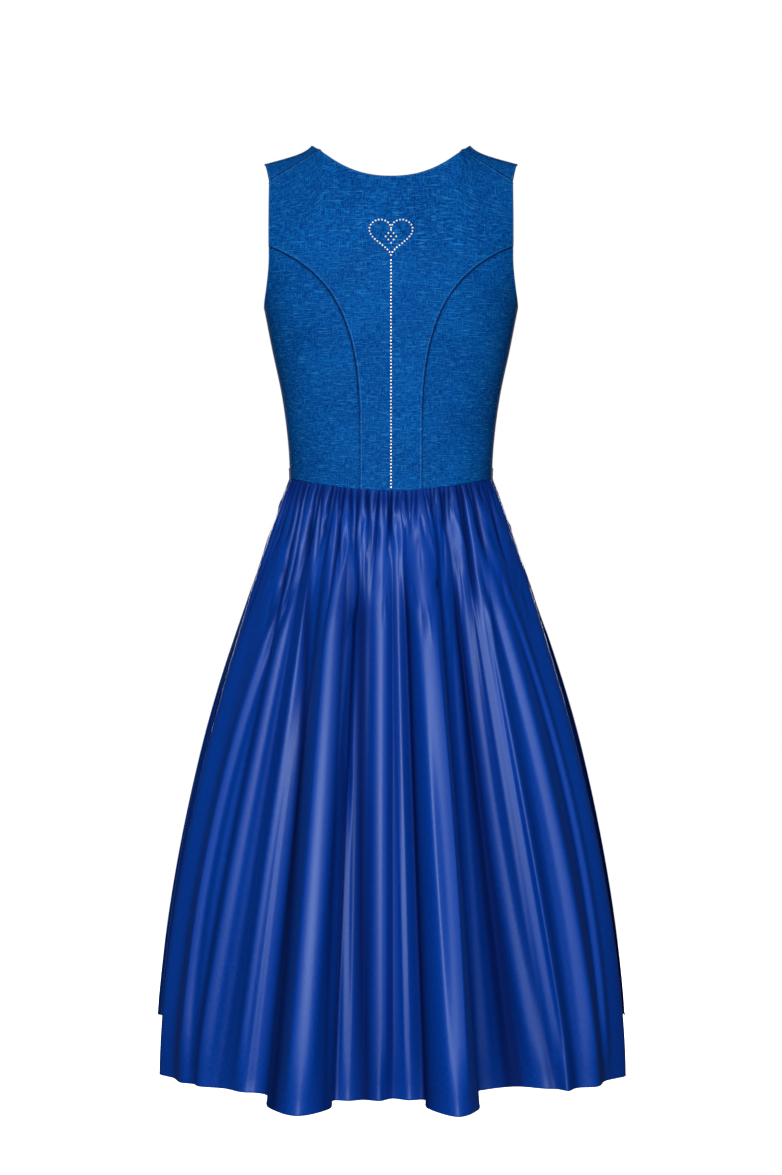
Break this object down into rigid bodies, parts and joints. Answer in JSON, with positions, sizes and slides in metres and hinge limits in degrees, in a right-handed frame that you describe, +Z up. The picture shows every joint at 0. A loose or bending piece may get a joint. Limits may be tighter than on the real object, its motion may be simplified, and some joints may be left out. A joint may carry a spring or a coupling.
{
  "type": "sleeveless dirndl with gathered skirt and apron",
  "caption": "Sleeveless dirndl filled out and hollow: fitted bodice with princess seams and buttoned front, gathered full skirt, and a gathered apron on a band in front.",
  "frame": {"origin": "midway between the wearer's shoulders, at the height where the straps rest on them", "axes": "+Z up, the front faces -Y, the wearer's left is +X"},
  "size_m": [0.557, 0.4835, 1.1108],
  "materials": {
    "bodice_cloth": "matte slubbed linen weave",
    "skirt_cloth": "satin with a paler sheen",
    "apron_cloth": "satin",
    "button_metal": "satin metal"
  },
  "bodies": {
    "root": {"back_centre": "bodice_cloth", "back_side_left": "bodice_cloth", "back_side_right": "bodice_cloth", "front_centre_left": "bodice_cloth", "front_centre_right": "bodice_cloth", "front_side_left": "bodice_cloth", "front_side_right": "bodice_cloth", "skirt_back": "skirt_cloth", "skirt_front": "skirt_cloth", "apron_panel": "apron_cloth", "apron_band": "apron_cloth", "button_1": "button_metal", "button_2": "button_metal", "button_3": "button_metal", "button_4": "button_metal", "button_5": "button_metal", "button_6": "button_metal", "button_7": "button_metal"}
  },
  "joints": []
}
